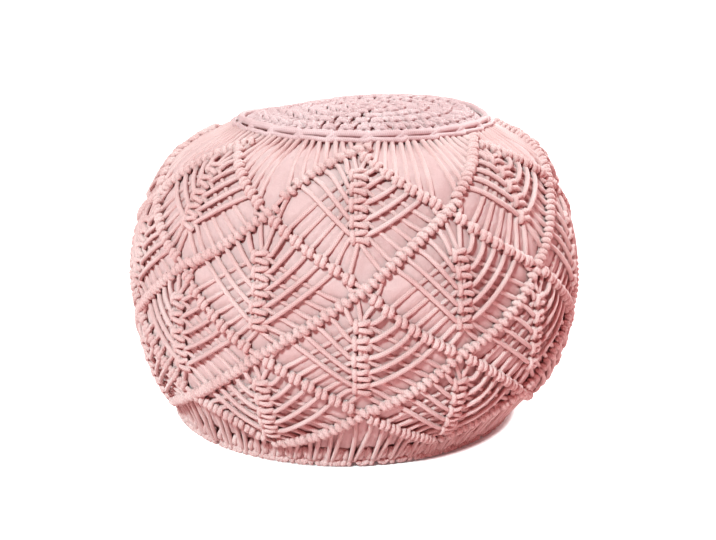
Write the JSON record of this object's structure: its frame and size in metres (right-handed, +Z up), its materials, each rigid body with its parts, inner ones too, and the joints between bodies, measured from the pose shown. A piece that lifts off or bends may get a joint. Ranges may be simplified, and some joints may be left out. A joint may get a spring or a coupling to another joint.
{
  "type": "macrame pouf",
  "caption": "Round floor pouf: a filled cotton cushion in a knotted cord net with a diamond lattice, closed by a crocheted round on top.",
  "frame": {"origin": "centre of the footprint of the whole pouf, on the floor", "axes": "+Z up; -Y towards the front, where a top crossing of the lattice stands in the middle; +X to the right"},
  "size_m": [0.4968, 0.4968, 0.345],
  "materials": {
    "net_cord": "soft pale pink 5 mm cotton cord, matt, with a fine knitted surface",
    "crochet_cord": "the same pink cotton cord, crocheted in long loops",
    "cover": "plain woven pink cotton, matt, slightly creased"
  },
  "bodies": {
    "root": {"cushion": "cover", "net": "net_cord", "rim_chain": "crochet_cord", "top_round": "crochet_cord", "base_ring": "net_cord", "base_panel": "cover"}
  },
  "joints": []
}
